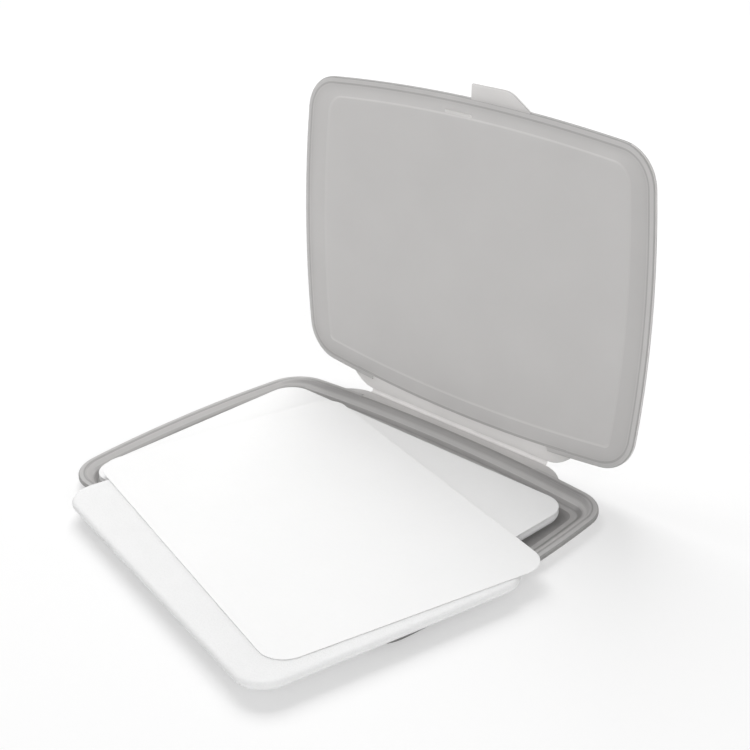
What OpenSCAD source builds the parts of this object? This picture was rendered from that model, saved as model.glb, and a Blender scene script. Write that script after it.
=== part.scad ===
// Slim hinged wet palette, shown open: a shallow tray and a matching lid joined by a living hinge,
// a foam pad with its palette paper lying in the tray, and a second pad and paper pulled out over
// the front rim. The origin is the middle of the face that the tray stands on. X runs along the
// hinge, -Y is the front.

/* [Case] */
// Width of tray and lid along the hinge
case_w = 200; // [170:1:240]
// Depth of tray and lid from front to back
case_d = 144.5; // [125:0.5:180]
// How far the two short sides bow out
side_bow = 5.6; // [3:0.1:8]
// How far the front edge bows out
front_bow = 5.6; // [3:0.1:8]
// How far the hinge edge bows out
rear_bow = 6.5; // [4:0.1:8]
// Corner radius of the outline
corner_r = 18; // [15:0.5:22]
// Thickness of the moulded walls
wall = 1.2; // [0.9:0.1:1.6]

/* [Rim] */
// Width of the flat rim that both halves meet on
rim_w = 3; // [2.5:0.1:4]
// Height of the thick edge bead under the rim
bead_h = 2.4; // [1.8:0.1:3]
// Rounding of the rim's edges
rim_round = 0.5; // [0.3:0.05:0.7]
// Gap between the two rims when the case is shut
rim_gap = 0.3; // [0.2:0.05:0.6]

/* [Tray] */
// Depth of the tray's inside below its rim
tray_depth = 4; // [3.2:0.1:8]
// Run of the sloped side walls, seen from above
tray_side_run = 6.2; // [4.5:0.1:8]
// Run of the sloped front wall
tray_front_run = 4; // [2.5:0.1:5]
// Run of the sloped rear wall
tray_rear_run = 7; // [4:0.1:9]
// How far the standing face is proud of the tray's underside
foot_h = 0.3; // [0.2:0.05:0.8]
// Width of the step around the standing face
foot_step = 2.5; // [1.5:0.1:5]

/* [Lid] */
// Depth of the lid's inside above its rim
lid_depth = 1.7; // [1.2:0.1:4]
// Run of the sloped side bands
lid_side_run = 10; // [7:0.1:13]
// Run of the sloped front and rear bands
lid_end_run = 6.4; // [4:0.1:9]
// Angle of the open lid, from shut
lid_open = 93.6; // [75:0.1:120]

/* [Hinge] */
// Distance from the rear rim to the fold line
hinge_reach = 3.5; // [2.5:0.1:5]
// Half length of the fold
fold_half = 53.5; // [40:0.5:60]
// Half length of the hinge flanges where they leave the rims
flange_half = 67; // [62:0.5:72]
// Thickness of the hinge flanges
flange_t = 1; // [0.8:0.05:1.3]
// Drop of the hinge flanges below the rims
hinge_drop = 0.6; // [0.4:0.05:0.8]
// Width of the lip that stays on the rim's inner edge along the fold
lip_w = 0.9; // [0.7:0.05:1.3]
// Rounding of the rim's ends beside the fold
rim_end_r = 1.4; // [0.8:0.1:1.8]
// Thickness of the hinge film
film_t = 0.4; // [0.25:0.05:0.6]
// Half width of the film, from the fold line to each flange
film_half = 0.6; // [0.5:0.05:0.9]

/* [Thumb tabs and catch] */
// Gap between the case's middle and each thumb tab
tab_gap = 3.2; // [1:0.1:8]
// Length of a thumb tab at its root
tab_root = 32; // [24:0.5:40]
// Length of a thumb tab at its outer edge
tab_top = 21; // [12:0.5:23]
// Reach of a thumb tab past the rim
tab_reach = 6.2; // [4:0.1:9]
// Thickness of a thumb tab
tab_t = 1.1; // [0.8:0.05:1.3]
// Length of the catch rib inside the lid's front
catch_len = 14.8; // [8:0.2:20]
// Width of the catch rib
catch_w = 1.2; // [0.8:0.1:2]
// Height of the catch rib
catch_h = 0.8; // [0.4:0.1:1.2]
// Distance of the catch rib from the lid's front edge
catch_inset = 7; // [5.5:0.1:8]

/* [Pads and papers] */
// Room to spare between the tray pad's length and the tray's bowed sides
pad_end_room = 3.6; // [3.5:0.1:30]
// Room to spare between the tray pad's width and the tray's bowed front and rear
pad_side_room = 3.4; // [3:0.1:25]
// Length of the pulled-out pad, which is a little shorter than the tray's
upper_w = 164.5; // [150:0.1:175]
// Width of the pulled-out pad
upper_d = 119.4; // [105:0.1:125]
// Thickness of a foam pad
pad_t = 3.6; // [2:0.1:5]
// Corner radius of a foam pad
pad_r = 13; // [12:0.5:20]
// How far a pad's edge is drawn in at top and bottom
pad_draw = 1; // [0.6:0.1:1.5]
// How far a palette paper's edge lies inside the tray pad's edge
paper_inset = 0.6; // [0.2:0.1:5]
// Thickness of a palette paper
paper_t = 0.35; // [0.2:0.05:0.6]
// Corner radius of a palette paper
paper_r = 11; // [6:0.5:18]

/* [Lay of the pads] */
// Sideways place of the lower pad in the tray
lower_x = -2.6; // [-2.7:0.05:2.7]
// Front-to-back place of the lower pad, from the middle of the tray's floor
lower_y = -1.1; // [-1.5:0.1:1.5]
// Sideways place of the pulled-out pad
upper_x = 18.5; // [5:0.1:20]
// Front-to-back place of the pulled-out pad
upper_y = -40.8; // [-50:0.1:-35]
// Turn of the pulled-out pad, seen from above
upper_turn = -11.25; // [-16:0.05:0]
// Sideways place of the pulled-out pad's paper
upper_paper_x = 13.15; // [8:0.05:18]
// Front-to-back place of the pulled-out pad's paper
upper_paper_y = -24.1; // [-35:0.1:-20]
// Turn of the pulled-out pad's paper, seen from above
upper_paper_turn = -14.1; // [-18:0.1:0]
// Gap under a loose piece that lies on another
lay_gap = 0.3; // [0.2:0.05:0.5]

/* [Hidden] */
// Points on each arc of the case's outline
side_steps = 10;
end_steps = 9;
corner_steps = 7;
// Points on each rounded corner of a pad, and steps up its soft edge
pad_steps = 8;
edge_steps = 6;
// Bite of one moulded feature into the next
bite = 1;
// Drop of a moulded feature below the face that it joins
face_step = 0.15;
// Share of a sloped wall's run, and of its fall, that its eased top and bottom take
ease_run = 0.08;
ease_fall = 0.06;
// Least corner radius of the drawn-in outline
least_r = corner_r / 3;

floor_z = foot_h + wall;
rim_z = floor_z + tray_depth;
fold_y = case_d / 2 + hinge_reach;
fold_z = rim_z + rim_gap / 2;
side_radius = bow_radius(case_d / 2, side_bow);
front_radius = bow_radius(case_w / 2, front_bow);
rear_radius = bow_radius(case_w / 2, rear_bow);
side_centre = [case_w / 2 - side_radius, 0];
front_centre = [0, front_radius - case_d / 2];
rear_centre = [0, case_d / 2 - rear_radius];
floor_mid_y = (tray_front_run - tray_rear_run) / 2;
floor_d = case_d - 2 * rim_w - tray_front_run - tray_rear_run;
pad_w = case_w - 2 * (rim_w + tray_side_run + bow_drop(side_radius, floor_d / 2 - pad_r)) - pad_end_room;
pad_straight = pad_w / 2 - pad_r;
pad_bows = bow_drop(front_radius, pad_straight) + bow_drop(rear_radius, pad_straight);
pad_d = floor_d - pad_bows - pad_side_room;
paper_w = pad_w - 2 * paper_inset;
paper_d = pad_d - 2 * paper_inset;
lower_paper_z = floor_z + pad_t + lay_gap / 3;
upper_z = max(rim_z, lower_paper_z + paper_t) + lay_gap;
upper_paper_z = upper_z + pad_t + lay_gap / 2;
smoke = [0.66, 0.65, 0.64, 0.9];
smoke_light = [0.76, 0.75, 0.74, 0.9];

// Radius of an arc that rises by bow over a half length
function bow_radius(half, bow) = (half * half + bow * bow) / (2 * bow);

// Fall of an arc at a distance from its middle
function bow_drop(r, x) = r - sqrt(r * r - x * x);

// Direction of a vector in degrees
function heading(v) = atan2(v.y, v.x);

// Where two circles cross, on the left (1) or the right (-1) of the line from the first to the second
function circle_hit(c1, r1, c2, r2, side) =
  let (
    d = norm(c2 - c1),
    u = (c2 - c1) / d,
    along = (r1 * r1 - r2 * r2 + d * d) / (2 * d),
    across = sqrt(r1 * r1 - along * along)
  )
  c1 + along * u + side * across * [-u.y, u.x];

// Points along an arc, without its last one
function arc(centre, r, from, to, steps) =
  [
    for (i = [0 : steps - 1])
      let (a = from + (to - from) * i / steps)
      centre + r * [cos(a), sin(a)]
  ];

// Right half of the case's outline, from the middle of the front to the middle of the rear,
// drawn in by a different amount at the sides, the front and the rear
function half_outline(in_side, in_front, in_rear, r) =
  let (
    rs = side_radius - in_side,
    rf = front_radius - in_front,
    rr = rear_radius - in_rear,
    cf = circle_hit(side_centre, rs - r, front_centre, rf - r, -1),
    cr = circle_hit(side_centre, rs - r, rear_centre, rr - r, 1),
    a1 = heading(cf - front_centre),
    a2 = heading(cf - side_centre),
    a3 = heading(cr - side_centre),
    a4 = heading(cr - rear_centre)
  )
  concat(
    arc(front_centre, rf, -90, a1, end_steps),
    arc(cf, r, a1, a2, corner_steps),
    arc(side_centre, rs, a2, a3, side_steps),
    arc(cr, r, a3, a4, corner_steps),
    arc(rear_centre, rr, a4, 90, end_steps),
    [rear_centre + [0, rr]]
  );

// The whole outline: the right half, then its mirror image
function outline(in_side, in_front, in_rear, r) =
  let (half = half_outline(in_side, in_front, in_rear, r), n = len(half))
  concat(half, [for (i = [n - 2 : -1 : 1]) [-half[i].x, half[i].y]]);

// Corner radius of the outline when it is drawn in
function drawn_r(inset) = max(corner_r - inset, least_r);

// One ring of a shell: the outline drawn in past the rim by a share of each wall's run
function wall_ring(share, runs, extra, z) =
  let (edge = rim_w + extra, inset = [for (run = runs) edge + run * share])
  at_height(outline(inset[0], inset[1], inset[2], drawn_r(inset[1])), z);

// One ring of the rim, drawn in evenly
function rim_ring(inset, z) = at_height(outline(inset, inset, inset, drawn_r(inset)), z);

// A flat outline lifted to a height
function at_height(points, z) = [for (p = points) [p.x, p.y, z]];

// A rounded rectangle about the origin
function round_rect(w, d, r) =
  [
    for (q = [0 : 3])
      for (i = [0 : pad_steps])
        let (a = 90 * (q + i / pad_steps))
        [
          (q == 0 || q == 3 ? 1 : -1) * (w / 2 - r) + r * cos(a),
          (q < 2 ? 1 : -1) * (d / 2 - r) + r * sin(a)
        ]
  ];

// A closed solid through a stack of rings that all have the same number of points
module loft(rings) {
  n = len(rings[0]);
  last = len(rings) - 1;
  points = [for (ring = rings) each ring];
  walls = [
    for (k = [0 : last - 1])
      for (i = [0 : n - 1])
        let (a = k * n + i, b = k * n + (i + 1) % n)
        each [[a, a + n, b], [b, a + n, b + n]]
  ];
  foot = [[for (i = [0 : n - 1]) i]];
  head = [[for (i = [n - 1 : -1 : 0]) last * n + i]];
  polyhedron(points = points, faces = concat(foot, walls, head), convexity = 6);
}

// Rings of one half of the case with its rim upwards: up the outside, over the rim and down inside
function half_rings(depth, runs) =
  let (deep = -depth - wall, under = -bead_h, lip = -rim_round / 4)
  [
    wall_ring(1, runs, wall / 2, deep),
    wall_ring(1 - ease_run, runs, wall / 4, deep + wall / 4),
    wall_ring(ease_run, runs, wall / 4, max(under, -wall) - wall / 8 - ease_fall * depth),
    rim_ring(rim_w - rim_round / 2, under + wall),
    rim_ring(rim_w - rim_round, under + rim_round / 2),
    rim_ring(rim_w - 2 * rim_round, under),
    rim_ring(rim_round, under),
    rim_ring(rim_round / 4, under + rim_round / 4),
    rim_ring(0, under + rim_round),
    rim_ring(0, -rim_round),
    rim_ring(rim_round / 4, lip),
    rim_ring(rim_round, 0),
    rim_ring(rim_w - rim_round, 0),
    wall_ring(0, runs, 0, lip),
    wall_ring(ease_run, runs, 0, lip - ease_fall * depth),
    wall_ring(1 - ease_run, runs, 0, (ease_fall - 1) * depth),
    wall_ring(1, runs, 0, -depth)
  ];

// Height of the rear outline, drawn in by an inset, at a distance from the middle
function rear_y(inset, x) = rear_centre.y + sqrt(pow(rear_radius - inset, 2) - x * x);

// Plate between a rear rim and the fold line, with its outer corners swept round
module hinge_flange() {
  steps = 6;
  start = [flange_half, rear_y(bite, flange_half)];
  bend = [fold_half + (flange_half - fold_half) / 2, fold_y - film_half];
  stop = [fold_half, fold_y - film_half];
  sweep = [
    for (i = [0 : steps])
      let (t = i / steps)
      start * pow(1 - t, 2) + bend * 2 * t * (1 - t) + stop * t * t
  ];
  root_steps = 12;
  root = [
    for (i = [1 : root_steps - 1])
      let (x = flange_half * (2 * i / root_steps - 1))
      [x, rear_y(rim_w, x)]
  ];
  back = [for (i = [steps : -1 : 0]) [-sweep[i].x, sweep[i].y]];
  linear_extrude(flange_t) polygon(concat(sweep, back, root));
}

// Space along the fold where the rim is cut away, down to an inset from its outer edge, with round ends
module fold_space(inset, height) {
  steps = 8;
  end_x = fold_half - rim_end_r;
  end_y = rear_y(inset, end_x) + rim_end_r;
  past = fold_y + bite;
  edge = [for (i = [0 : steps]) let (x = end_x * (2 * i / steps - 1)) [x, rear_y(inset, x)]];
  right = arc([end_x, end_y], rim_end_r, -90, 0, steps);
  left = arc([-end_x, end_y], rim_end_r, 180, 270, steps);
  linear_extrude(height)
    polygon(concat(edge, right, [[fold_half, end_y], [fold_half, past], [-fold_half, past]], left));
}

// One half of the case with its rim upwards at height 0: the shell, with its rim cut away along the
// fold and the hinge flange in its place
module case_half(depth, runs) {
  under = hinge_drop + flange_t;
  difference() {
    loft(half_rings(depth, runs));
    translate([0, 0, -hinge_drop]) fold_space(rim_w - lip_w, hinge_drop + bite);
    translate([0, 0, -bead_h - bite]) fold_space(rim_w - rim_round / 2, bead_h + bite - under);
  }
  translate([0, 0, -under]) hinge_flange();
}

// Tab on the front edge for a thumb, square at the case's middle and slanted at its far end
module thumb_tab(hand) {
  y_edge = front_centre.y - sqrt(pow(front_radius - bite, 2) - pow(tab_gap + tab_root, 2));
  y_top = -case_d / 2 - tab_reach;
  blunt = 1.5;
  linear_extrude(tab_t)
    polygon([
      [hand * tab_gap, y_edge],
      [hand * tab_gap, y_top],
      [hand * (tab_gap + tab_top - blunt), y_top],
      [hand * (tab_gap + tab_top), y_top + blunt / 3],
      [hand * (tab_gap + tab_root), y_edge - bite],
      [hand * (tab_gap + tab_root), y_edge]
    ]);
}

// Flat step under the tray that it stands on
module standing_face() {
  edge = rim_w + wall / 2 + foot_step;
  linear_extrude(foot_h + wall / 2)
    polygon(outline(edge + tray_side_run, edge + tray_front_run, edge + tray_rear_run, least_r));
}

module base_tray() {
  color(smoke) {
    translate([0, 0, rim_z]) case_half(tray_depth, [tray_side_run, tray_front_run, tray_rear_run]);
    standing_face();
    translate([0, 0, rim_z - tab_t - face_step]) thumb_tab(-1);
  }
}

// Depth of the lid's inside on its sloped front band, at a distance from its edge
function band_depth(inset) = lid_depth * min(1, (inset - rim_w) / lid_end_run);

// Rib on the lid's front band that snaps behind the tray's rim
module catch_rib() {
  near = band_depth(catch_inset);
  far = band_depth(catch_inset + catch_w);
  translate([tab_gap - catch_len, catch_inset - case_d / 2, near - catch_h])
    cube([catch_len, catch_w, far + wall / 2 - near + catch_h]);
}

// The lid lies rim down over the tray, then swings open about the fold line
module lid() {
  color(smoke_light)
    translate([0, fold_y, fold_z])
      rotate([-lid_open, 0, 0])
        translate([0, -fold_y, rim_gap / 2]) {
          mirror([0, 0, 1]) case_half(lid_depth, [lid_side_run, lid_end_run, lid_end_run]);
          translate([0, 0, face_step]) thumb_tab(1);
          catch_rib();
        }
}

// Thin film that bends from the tray's flange up to the lid's flange
module hinge_film() {
  steps = 8;
  low = rim_gap / 2 + hinge_drop;
  start = [-film_half, -low - film_t / 2];
  swung = [-film_half, low + film_t / 2];
  stop = [
    swung.x * cos(lid_open) + swung.y * sin(lid_open),
    -swung.x * sin(lid_open) + swung.y * cos(lid_open)
  ];
  lean = [cos(lid_open), -sin(lid_open)];
  reach = (stop.y - start.y) / lean.y;
  corner = stop - lean * reach;
  path = [
    for (i = [0 : steps])
      let (t = i / steps)
      start * pow(1 - t, 2) + corner * 2 * t * (1 - t) + stop * t * t
  ];
  flow = [
    for (i = [0 : steps])
      let (t = i / steps, d = (corner - start) * (1 - t) + (stop - corner) * t)
      d / norm(d)
  ];
  inside = [for (i = [0 : steps]) path[i] + film_t / 2 * [-flow[i].y, flow[i].x]];
  outside = [for (i = [steps : -1 : 0]) path[i] + film_t / 2 * [flow[i].y, -flow[i].x]];
  color(smoke_light)
    translate([-fold_half, fold_y, fold_z]) rotate([90, 0, 90])
      linear_extrude(2 * fold_half) polygon(concat(inside, outside));
}

// Foam sheet with soft, slightly drawn-in edges
module pad(w, d) {
  loft([
    for (i = [0 : edge_steps])
      let (a = 180 * i / edge_steps - 90, draw = pad_draw * (1 - cos(a)))
      at_height(round_rect(w - 2 * draw, d - 2 * draw, pad_r - draw), pad_t * (1 + sin(a)) / 2)
  ]);
}

// Flat sheet of palette paper
module paper() {
  linear_extrude(paper_t) polygon(round_rect(paper_w, paper_d, paper_r));
}

module lower_pad() {
  color("gainsboro") translate([lower_x, floor_mid_y + lower_y, floor_z]) pad(pad_w, pad_d);
}

module lower_paper() {
  color("white") translate([lower_x, floor_mid_y + lower_y, lower_paper_z]) paper();
}

module upper_pad() {
  color("whitesmoke")
    translate([upper_x, upper_y, upper_z]) rotate([0, 0, upper_turn]) pad(upper_w, upper_d);
}

module upper_paper() {
  color("white")
    translate([upper_paper_x, upper_paper_y, upper_paper_z]) rotate([0, 0, upper_paper_turn]) paper();
}

base_tray();
lid();
hinge_film();
lower_pad();
lower_paper();
upper_pad();
upper_paper();
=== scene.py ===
# %% [markdown]
# A slim wet palette, dressed for its portrait.
# The palette is a thin frosted case that opens on a living hinge, with foam pads and sheets of palette
# paper inside. The solid parts already exist at their real size, so this lesson only adds what makes
# them look real: smooth shells, soft pads, thin paper, and plastic that lets some light through.
# The first step loads those solids as a fixed frame.

# %% Load the frame
import math

import bmesh
import bpy
import numpy as np
from mathutils import Matrix, Vector
from mathutils.bvhtree import BVHTree


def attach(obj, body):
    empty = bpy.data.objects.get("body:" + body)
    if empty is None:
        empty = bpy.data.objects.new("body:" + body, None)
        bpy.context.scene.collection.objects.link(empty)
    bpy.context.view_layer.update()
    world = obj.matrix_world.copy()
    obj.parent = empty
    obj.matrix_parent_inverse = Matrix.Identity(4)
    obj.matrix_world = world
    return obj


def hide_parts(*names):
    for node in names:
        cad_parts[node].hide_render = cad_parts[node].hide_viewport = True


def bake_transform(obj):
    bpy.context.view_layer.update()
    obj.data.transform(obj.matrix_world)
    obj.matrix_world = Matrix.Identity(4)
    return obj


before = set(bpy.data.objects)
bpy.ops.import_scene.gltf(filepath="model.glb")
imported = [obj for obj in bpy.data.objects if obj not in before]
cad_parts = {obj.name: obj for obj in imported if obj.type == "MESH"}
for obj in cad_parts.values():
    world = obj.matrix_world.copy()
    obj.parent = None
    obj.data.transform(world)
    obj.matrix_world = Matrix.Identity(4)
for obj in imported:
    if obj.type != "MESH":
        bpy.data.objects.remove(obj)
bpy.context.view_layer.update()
MM = 0.001
print("solids:", sorted(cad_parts))

# %% [markdown]
# The camera comes before anything else, because every later choice is judged through it.
# The view is from the front right and a little above, through a long lens, so that the far rim looks
# nearly as wide as the near one. The place is written as an angle, a height and a distance, which is
# easier to read and change than a matrix. A photographer never holds a camera quite level, so there
# is a small roll too.

# %% Camera
VIEW_TURN = math.radians(46.98)
VIEW_RISE = math.radians(25.29)
VIEW_ROLL = math.radians(-2.33)
VIEW_DISTANCE = 586.57 * MM
VIEW_CENTRE = Vector((21.33, 8.37, 60.92)) * MM
LENS = 71.04
NEAREST = 0.01


def make_camera():
    towards = Vector((
        math.sin(VIEW_TURN) * math.cos(VIEW_RISE),
        -math.cos(VIEW_TURN) * math.cos(VIEW_RISE),
        math.sin(VIEW_RISE),
    ))
    level = Vector((0, 0, 1)).cross(towards).normalized()
    upright = towards.cross(level)
    right = math.cos(VIEW_ROLL) * level + math.sin(VIEW_ROLL) * upright
    above = math.cos(VIEW_ROLL) * upright - math.sin(VIEW_ROLL) * level
    lens = bpy.data.cameras.new("portrait_lens")
    lens.lens = LENS
    lens.clip_start = NEAREST
    camera = bpy.data.objects.new("portrait_camera", lens)
    camera.matrix_world = Matrix((right, above, towards)).transposed().to_4x4()
    camera.location = VIEW_CENTRE + towards * VIEW_DISTANCE
    bpy.context.scene.collection.objects.link(camera)
    bpy.context.scene.camera = camera
    return camera


camera = make_camera()
print("camera at, mm:", [round(x / MM) for x in camera.location])

# %% [markdown]
# A pale product picture needs very soft light. The sky does most of the work: it is plain white and
# wraps round everything. One broad lamp stands high behind the lid on the left, so that light comes
# through the frosted lid, and the lid throws a soft shade on the pad in front of it. A second, weaker
# lamp stands low at the front right, so that the sides of the pads don't go grey.
# Behind the palette the sky should look pure white, but a sky that bright would wash out all shade. So
# a Light Path node gives it two levels: white where it is seen, and dimmer where it only lights.

# %% Sky and lamps
SKY_LEVEL = 0.3
LAMP_AIM = Vector((0, 0, 0.03))
KEY = {"place": Vector((-0.94, 0.62, 1.66)), "width": 1.5, "watts": 32.0}
FILL = {"place": Vector((1.6, -1.2, 0.9)), "width": 1.6, "watts": 18.0}


def nodes_of(owner):
    owner.use_nodes = True
    tree = owner.node_tree
    tree.nodes.clear()
    return tree


def add(tree, kind, settings=None, **inputs):
    """Adds one node with its own settings. Inputs, by name or number, are values or sockets to link."""
    node = tree.nodes.new(kind)
    for name, value in (settings or {}).items():
        setattr(node, name, value)
    for name, value in inputs.items():
        socket = node.inputs[int(name[1:])] if name[0] == "i" and name[1:].isdigit() else node.inputs[name]
        if isinstance(value, bpy.types.NodeSocket):
            tree.links.new(value, socket)
        else:
            socket.default_value = value
    return node


def calc(tree, how, first, second=0.0):
    """One step of reckoning with numbers."""
    return add(tree, "ShaderNodeMath", {"operation": how}, i0=first, i1=second).outputs[0]


def between(tree, factor, low, high):
    """A number that runs from low to high as the factor runs from 0 to 1."""
    return add(tree, "ShaderNodeMapRange", i0=factor, i3=low, i4=high).outputs[0]


def seen_directly(tree):
    """1 for what the camera sees straight on, in a reflection or through plastic, and 0 for plain light."""
    path = add(tree, "ShaderNodeLightPath").outputs
    mirror = calc(tree, "MAXIMUM", path["Is Glossy Ray"], path["Is Transmission Ray"])
    return calc(tree, "MAXIMUM", path["Is Camera Ray"], mirror)


def make_sky():
    sky = bpy.data.worlds.new("studio_white")
    tree = nodes_of(sky)
    level = between(tree, seen_directly(tree), SKY_LEVEL, 1.0)
    glow = add(tree, "ShaderNodeBackground", Color=(1, 1, 1, 1), Strength=level)
    add(tree, "ShaderNodeOutputWorld", Surface=glow.outputs[0])
    bpy.context.scene.world = sky


def make_lamp(name, lamp):
    light = bpy.data.lights.new(name, "AREA")
    light.size = lamp["width"]
    light.energy = lamp["watts"]
    made = bpy.data.objects.new(name, light)
    made.location = lamp["place"]
    made.rotation_euler = (LAMP_AIM - lamp["place"]).to_track_quat("-Z", "Y").to_euler()
    bpy.context.scene.collection.objects.link(made)


bpy.context.scene.view_settings.view_transform = "Standard"
make_sky()
make_lamp("key_lamp", KEY)
make_lamp("fill_lamp", FILL)
print("sky at", SKY_LEVEL, "with lamps of", KEY["watts"], "and", FILL["watts"], "W")

# %% [markdown]
# The floor is a pale sheet that catches the shade. Seen directly it gets a little glow of its own, so
# that it comes out nearly as white as the sky. The camera also sees its shade about a third softer, and
# far from the palette the sheet turns plain white, so that it meets the sky with no edge. The plain
# light that falls on the palette is not changed by any of that.

# %% Floor
FLOOR_PALE = 0.9
FLOOR_HALF = 12.0
FLOOR_FADE = (0.4, 1.3)
SHADE_LIFT = 0.35


def floor_material():
    pale = bpy.data.materials.new("floor_paper")
    tree = nodes_of(pale)
    matte = add(tree, "ShaderNodeBsdfDiffuse", Color=(FLOOR_PALE, FLOOR_PALE, FLOOR_PALE, 1))
    direct = seen_directly(tree)
    glow = add(tree, "ShaderNodeEmission", Strength=calc(tree, "MULTIPLY", direct, 1 - FLOOR_PALE))
    near = add(tree, "ShaderNodeAddShader", i0=matte.outputs[0], i1=glow.outputs[0])
    place = add(tree, "ShaderNodeTexCoord").outputs["Object"]
    far = add(tree, "ShaderNodeVectorMath", {"operation": "LENGTH"}, i0=place).outputs["Value"]
    fade = add(
        tree, "ShaderNodeMapRange", {"interpolation_type": "SMOOTHSTEP"},
        i0=far, i1=FLOOR_FADE[0], i2=FLOOR_FADE[1],
    ).outputs[0]
    blank = calc(tree, "MULTIPLY", direct, fade)
    seen = add(tree, "ShaderNodeLightPath").outputs["Is Camera Ray"]
    share = calc(tree, "MAXIMUM", blank, calc(tree, "MULTIPLY", seen, SHADE_LIFT))
    white = add(tree, "ShaderNodeEmission", Strength=1.0)
    both = add(tree, "ShaderNodeMixShader", i0=share, i1=near.outputs[0], i2=white.outputs[0])
    add(tree, "ShaderNodeOutputMaterial", Surface=both.outputs[0])
    return pale


def make_floor():
    mesh = bpy.data.meshes.new("studio_floor")
    corners = [(-1, -1), (1, -1), (1, 1), (-1, 1)]
    mesh.from_pydata([(x * FLOOR_HALF, y * FLOOR_HALF, 0) for x, y in corners], [], [(0, 1, 2, 3)])
    mesh.materials.append(floor_material())
    floor = bpy.data.objects.new("studio_floor", mesh)
    bpy.context.scene.collection.objects.link(floor)
    return floor


floor = make_floor()
print(floor.name, "is", 2 * FLOOR_HALF, "m wide and fades from", FLOOR_FADE[0], "to", FLOOR_FADE[1], "m")

# %% [markdown]
# The case is frosted polypropylene with a little smoke in it. Such plastic does three things at once:
# it scatters light at its surface, lets some through, and has a soft satin shine. A Principled shader
# gives the first and the last, and a Translucent shader mixed into it passes light on.
# How light it looks depends on how much plastic there is, and the same colour ramps also paint light and
# shade. The hinge film is thin and bright. The flange and tab are painted lighter, and the tray's walls
# are painted a little lighter than the lid's panel of the same plastic. The sloped bands of the lid and
# the foot of the tray's walls are a little thicker, and darker with painted shade, as is the tray's floor.
# Where the wall steps up to the thick bead of the rim, a thin dark line of painted shade stands for light
# that is bent aside. The bead itself throws more light back but passes less, with some painted highlight,
# and its outer side, where light would have to cross the whole rim, is dark again with painted shade. So
# the faces carry the thickness of the wall behind them, in millimetres, as an attribute, and two colour
# ramps follow it. Each row of the table gives a thickness, what the surface throws back there, and what
# passes through.
# A fine grain in the bump and the roughness is the texture that the mould leaves, and a slow, faint
# cloud is the uneven mix of the pigment.

# %% Frosted plastic
WALL_ATTRIBUTE = "wall_mm"
THICK_WALL = 3.6
LETS_THROUGH = 0.58
TINT = (1.0, 0.99, 0.983)
# Besides thickness, the rows paint light and shade: the flange, tab, tray walls and bead are painted
# lighter, and the lid's bands, the tray's foot and floor, the step to the bead and the rim's outer side get
# painted shade.
WALL_AND_PAINTED_LIGHT_LOOKS = (
    (0.4, 0.78, 1.0),  # film
    (1.1, 0.48, 0.98),  # flange and tab
    (1.13, 0.73, 0.84),  # tray walls
    (1.165, 0.58, 0.79),
    (1.2, 0.58, 0.79),  # panel of the lid
    (1.32, 0.31, 0.9),  # bands of the lid, foot of the tray walls
    (1.5, 0.23, 0.78),  # tray floor
    (2.28, 0.26, 0.82),  # step up to the bead
    (2.34, 0.82, 0.66),
    (2.45, 0.82, 0.66),  # bead
    (2.68, 0.36, 0.66),
    (3.2, 0.29, 0.54),  # outer side of the rim
)
CLOUD_SCALE, CLOUD_DETAIL, CLOUD_RANGE = 38.0, 3.0, (0.975, 1.025)
GRAIN_SCALE, GRAIN_STRENGTH, GRAIN_HEIGHT = 2600.0, 0.12, 0.08 * MM
SATIN_RANGE = (0.34, 0.5)
PLASTIC_IOR = 1.49


def noise(tree, scale, detail=2.0):
    place = add(tree, "ShaderNodeTexCoord").outputs["Object"]
    return add(tree, "ShaderNodeTexNoise", Vector=place, Scale=scale, Detail=detail).outputs["Fac"]


def scale3(tree, vector, by):
    """A vector or a colour times a number."""
    return add(tree, "ShaderNodeVectorMath", {"operation": "SCALE"}, i0=vector, Scale=by).outputs[0]


def wall_and_painted_light_ramp(tree, depth, column):
    """A tinted grey that follows the wall, with its painted light and shade, from one column of the table
    above.
    """
    ramp = add(tree, "ShaderNodeValToRGB", Fac=depth)
    marks = ramp.color_ramp.elements
    while len(marks) < len(WALL_AND_PAINTED_LIGHT_LOOKS):
        marks.new(1.0)
    for mark, look in zip(marks, WALL_AND_PAINTED_LIGHT_LOOKS):
        mark.position = look[0] / THICK_WALL
        mark.color = (*(look[column] * part for part in TINT), 1)
    return ramp.outputs["Color"]


def make_plastic():
    plastic = bpy.data.materials.new("frosted_plastic")
    tree = nodes_of(plastic)
    wall = add(tree, "ShaderNodeAttribute", {"attribute_name": WALL_ATTRIBUTE}).outputs["Fac"]
    depth = calc(tree, "DIVIDE", wall, THICK_WALL)
    cloud = between(tree, noise(tree, CLOUD_SCALE, CLOUD_DETAIL), *CLOUD_RANGE)
    grain = noise(tree, GRAIN_SCALE)
    # Both ramps carry the painted light and shade of the table.
    surface = scale3(tree, wall_and_painted_light_ramp(tree, depth, 1), cloud)
    inner = scale3(tree, wall_and_painted_light_ramp(tree, depth, 2), cloud)
    bump = add(
        tree, "ShaderNodeBump", Strength=GRAIN_STRENGTH, Distance=GRAIN_HEIGHT, Height=grain
    ).outputs[0]
    satin = add(
        tree, "ShaderNodeBsdfPrincipled",
        Roughness=between(tree, grain, *SATIN_RANGE), IOR=PLASTIC_IOR, Normal=bump,
        **{"Base Color": surface},
    )
    passed = add(tree, "ShaderNodeBsdfTranslucent", Color=inner, Normal=bump)
    both = add(tree, "ShaderNodeMixShader", i0=LETS_THROUGH, i1=satin.outputs[0], i2=passed.outputs[0])
    add(tree, "ShaderNodeOutputMaterial", Surface=both.outputs[0])
    return plastic


frosted = make_plastic()
print("made", frosted.name, "with", len(WALL_AND_PAINTED_LIGHT_LOOKS), "wall thicknesses")
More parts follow.
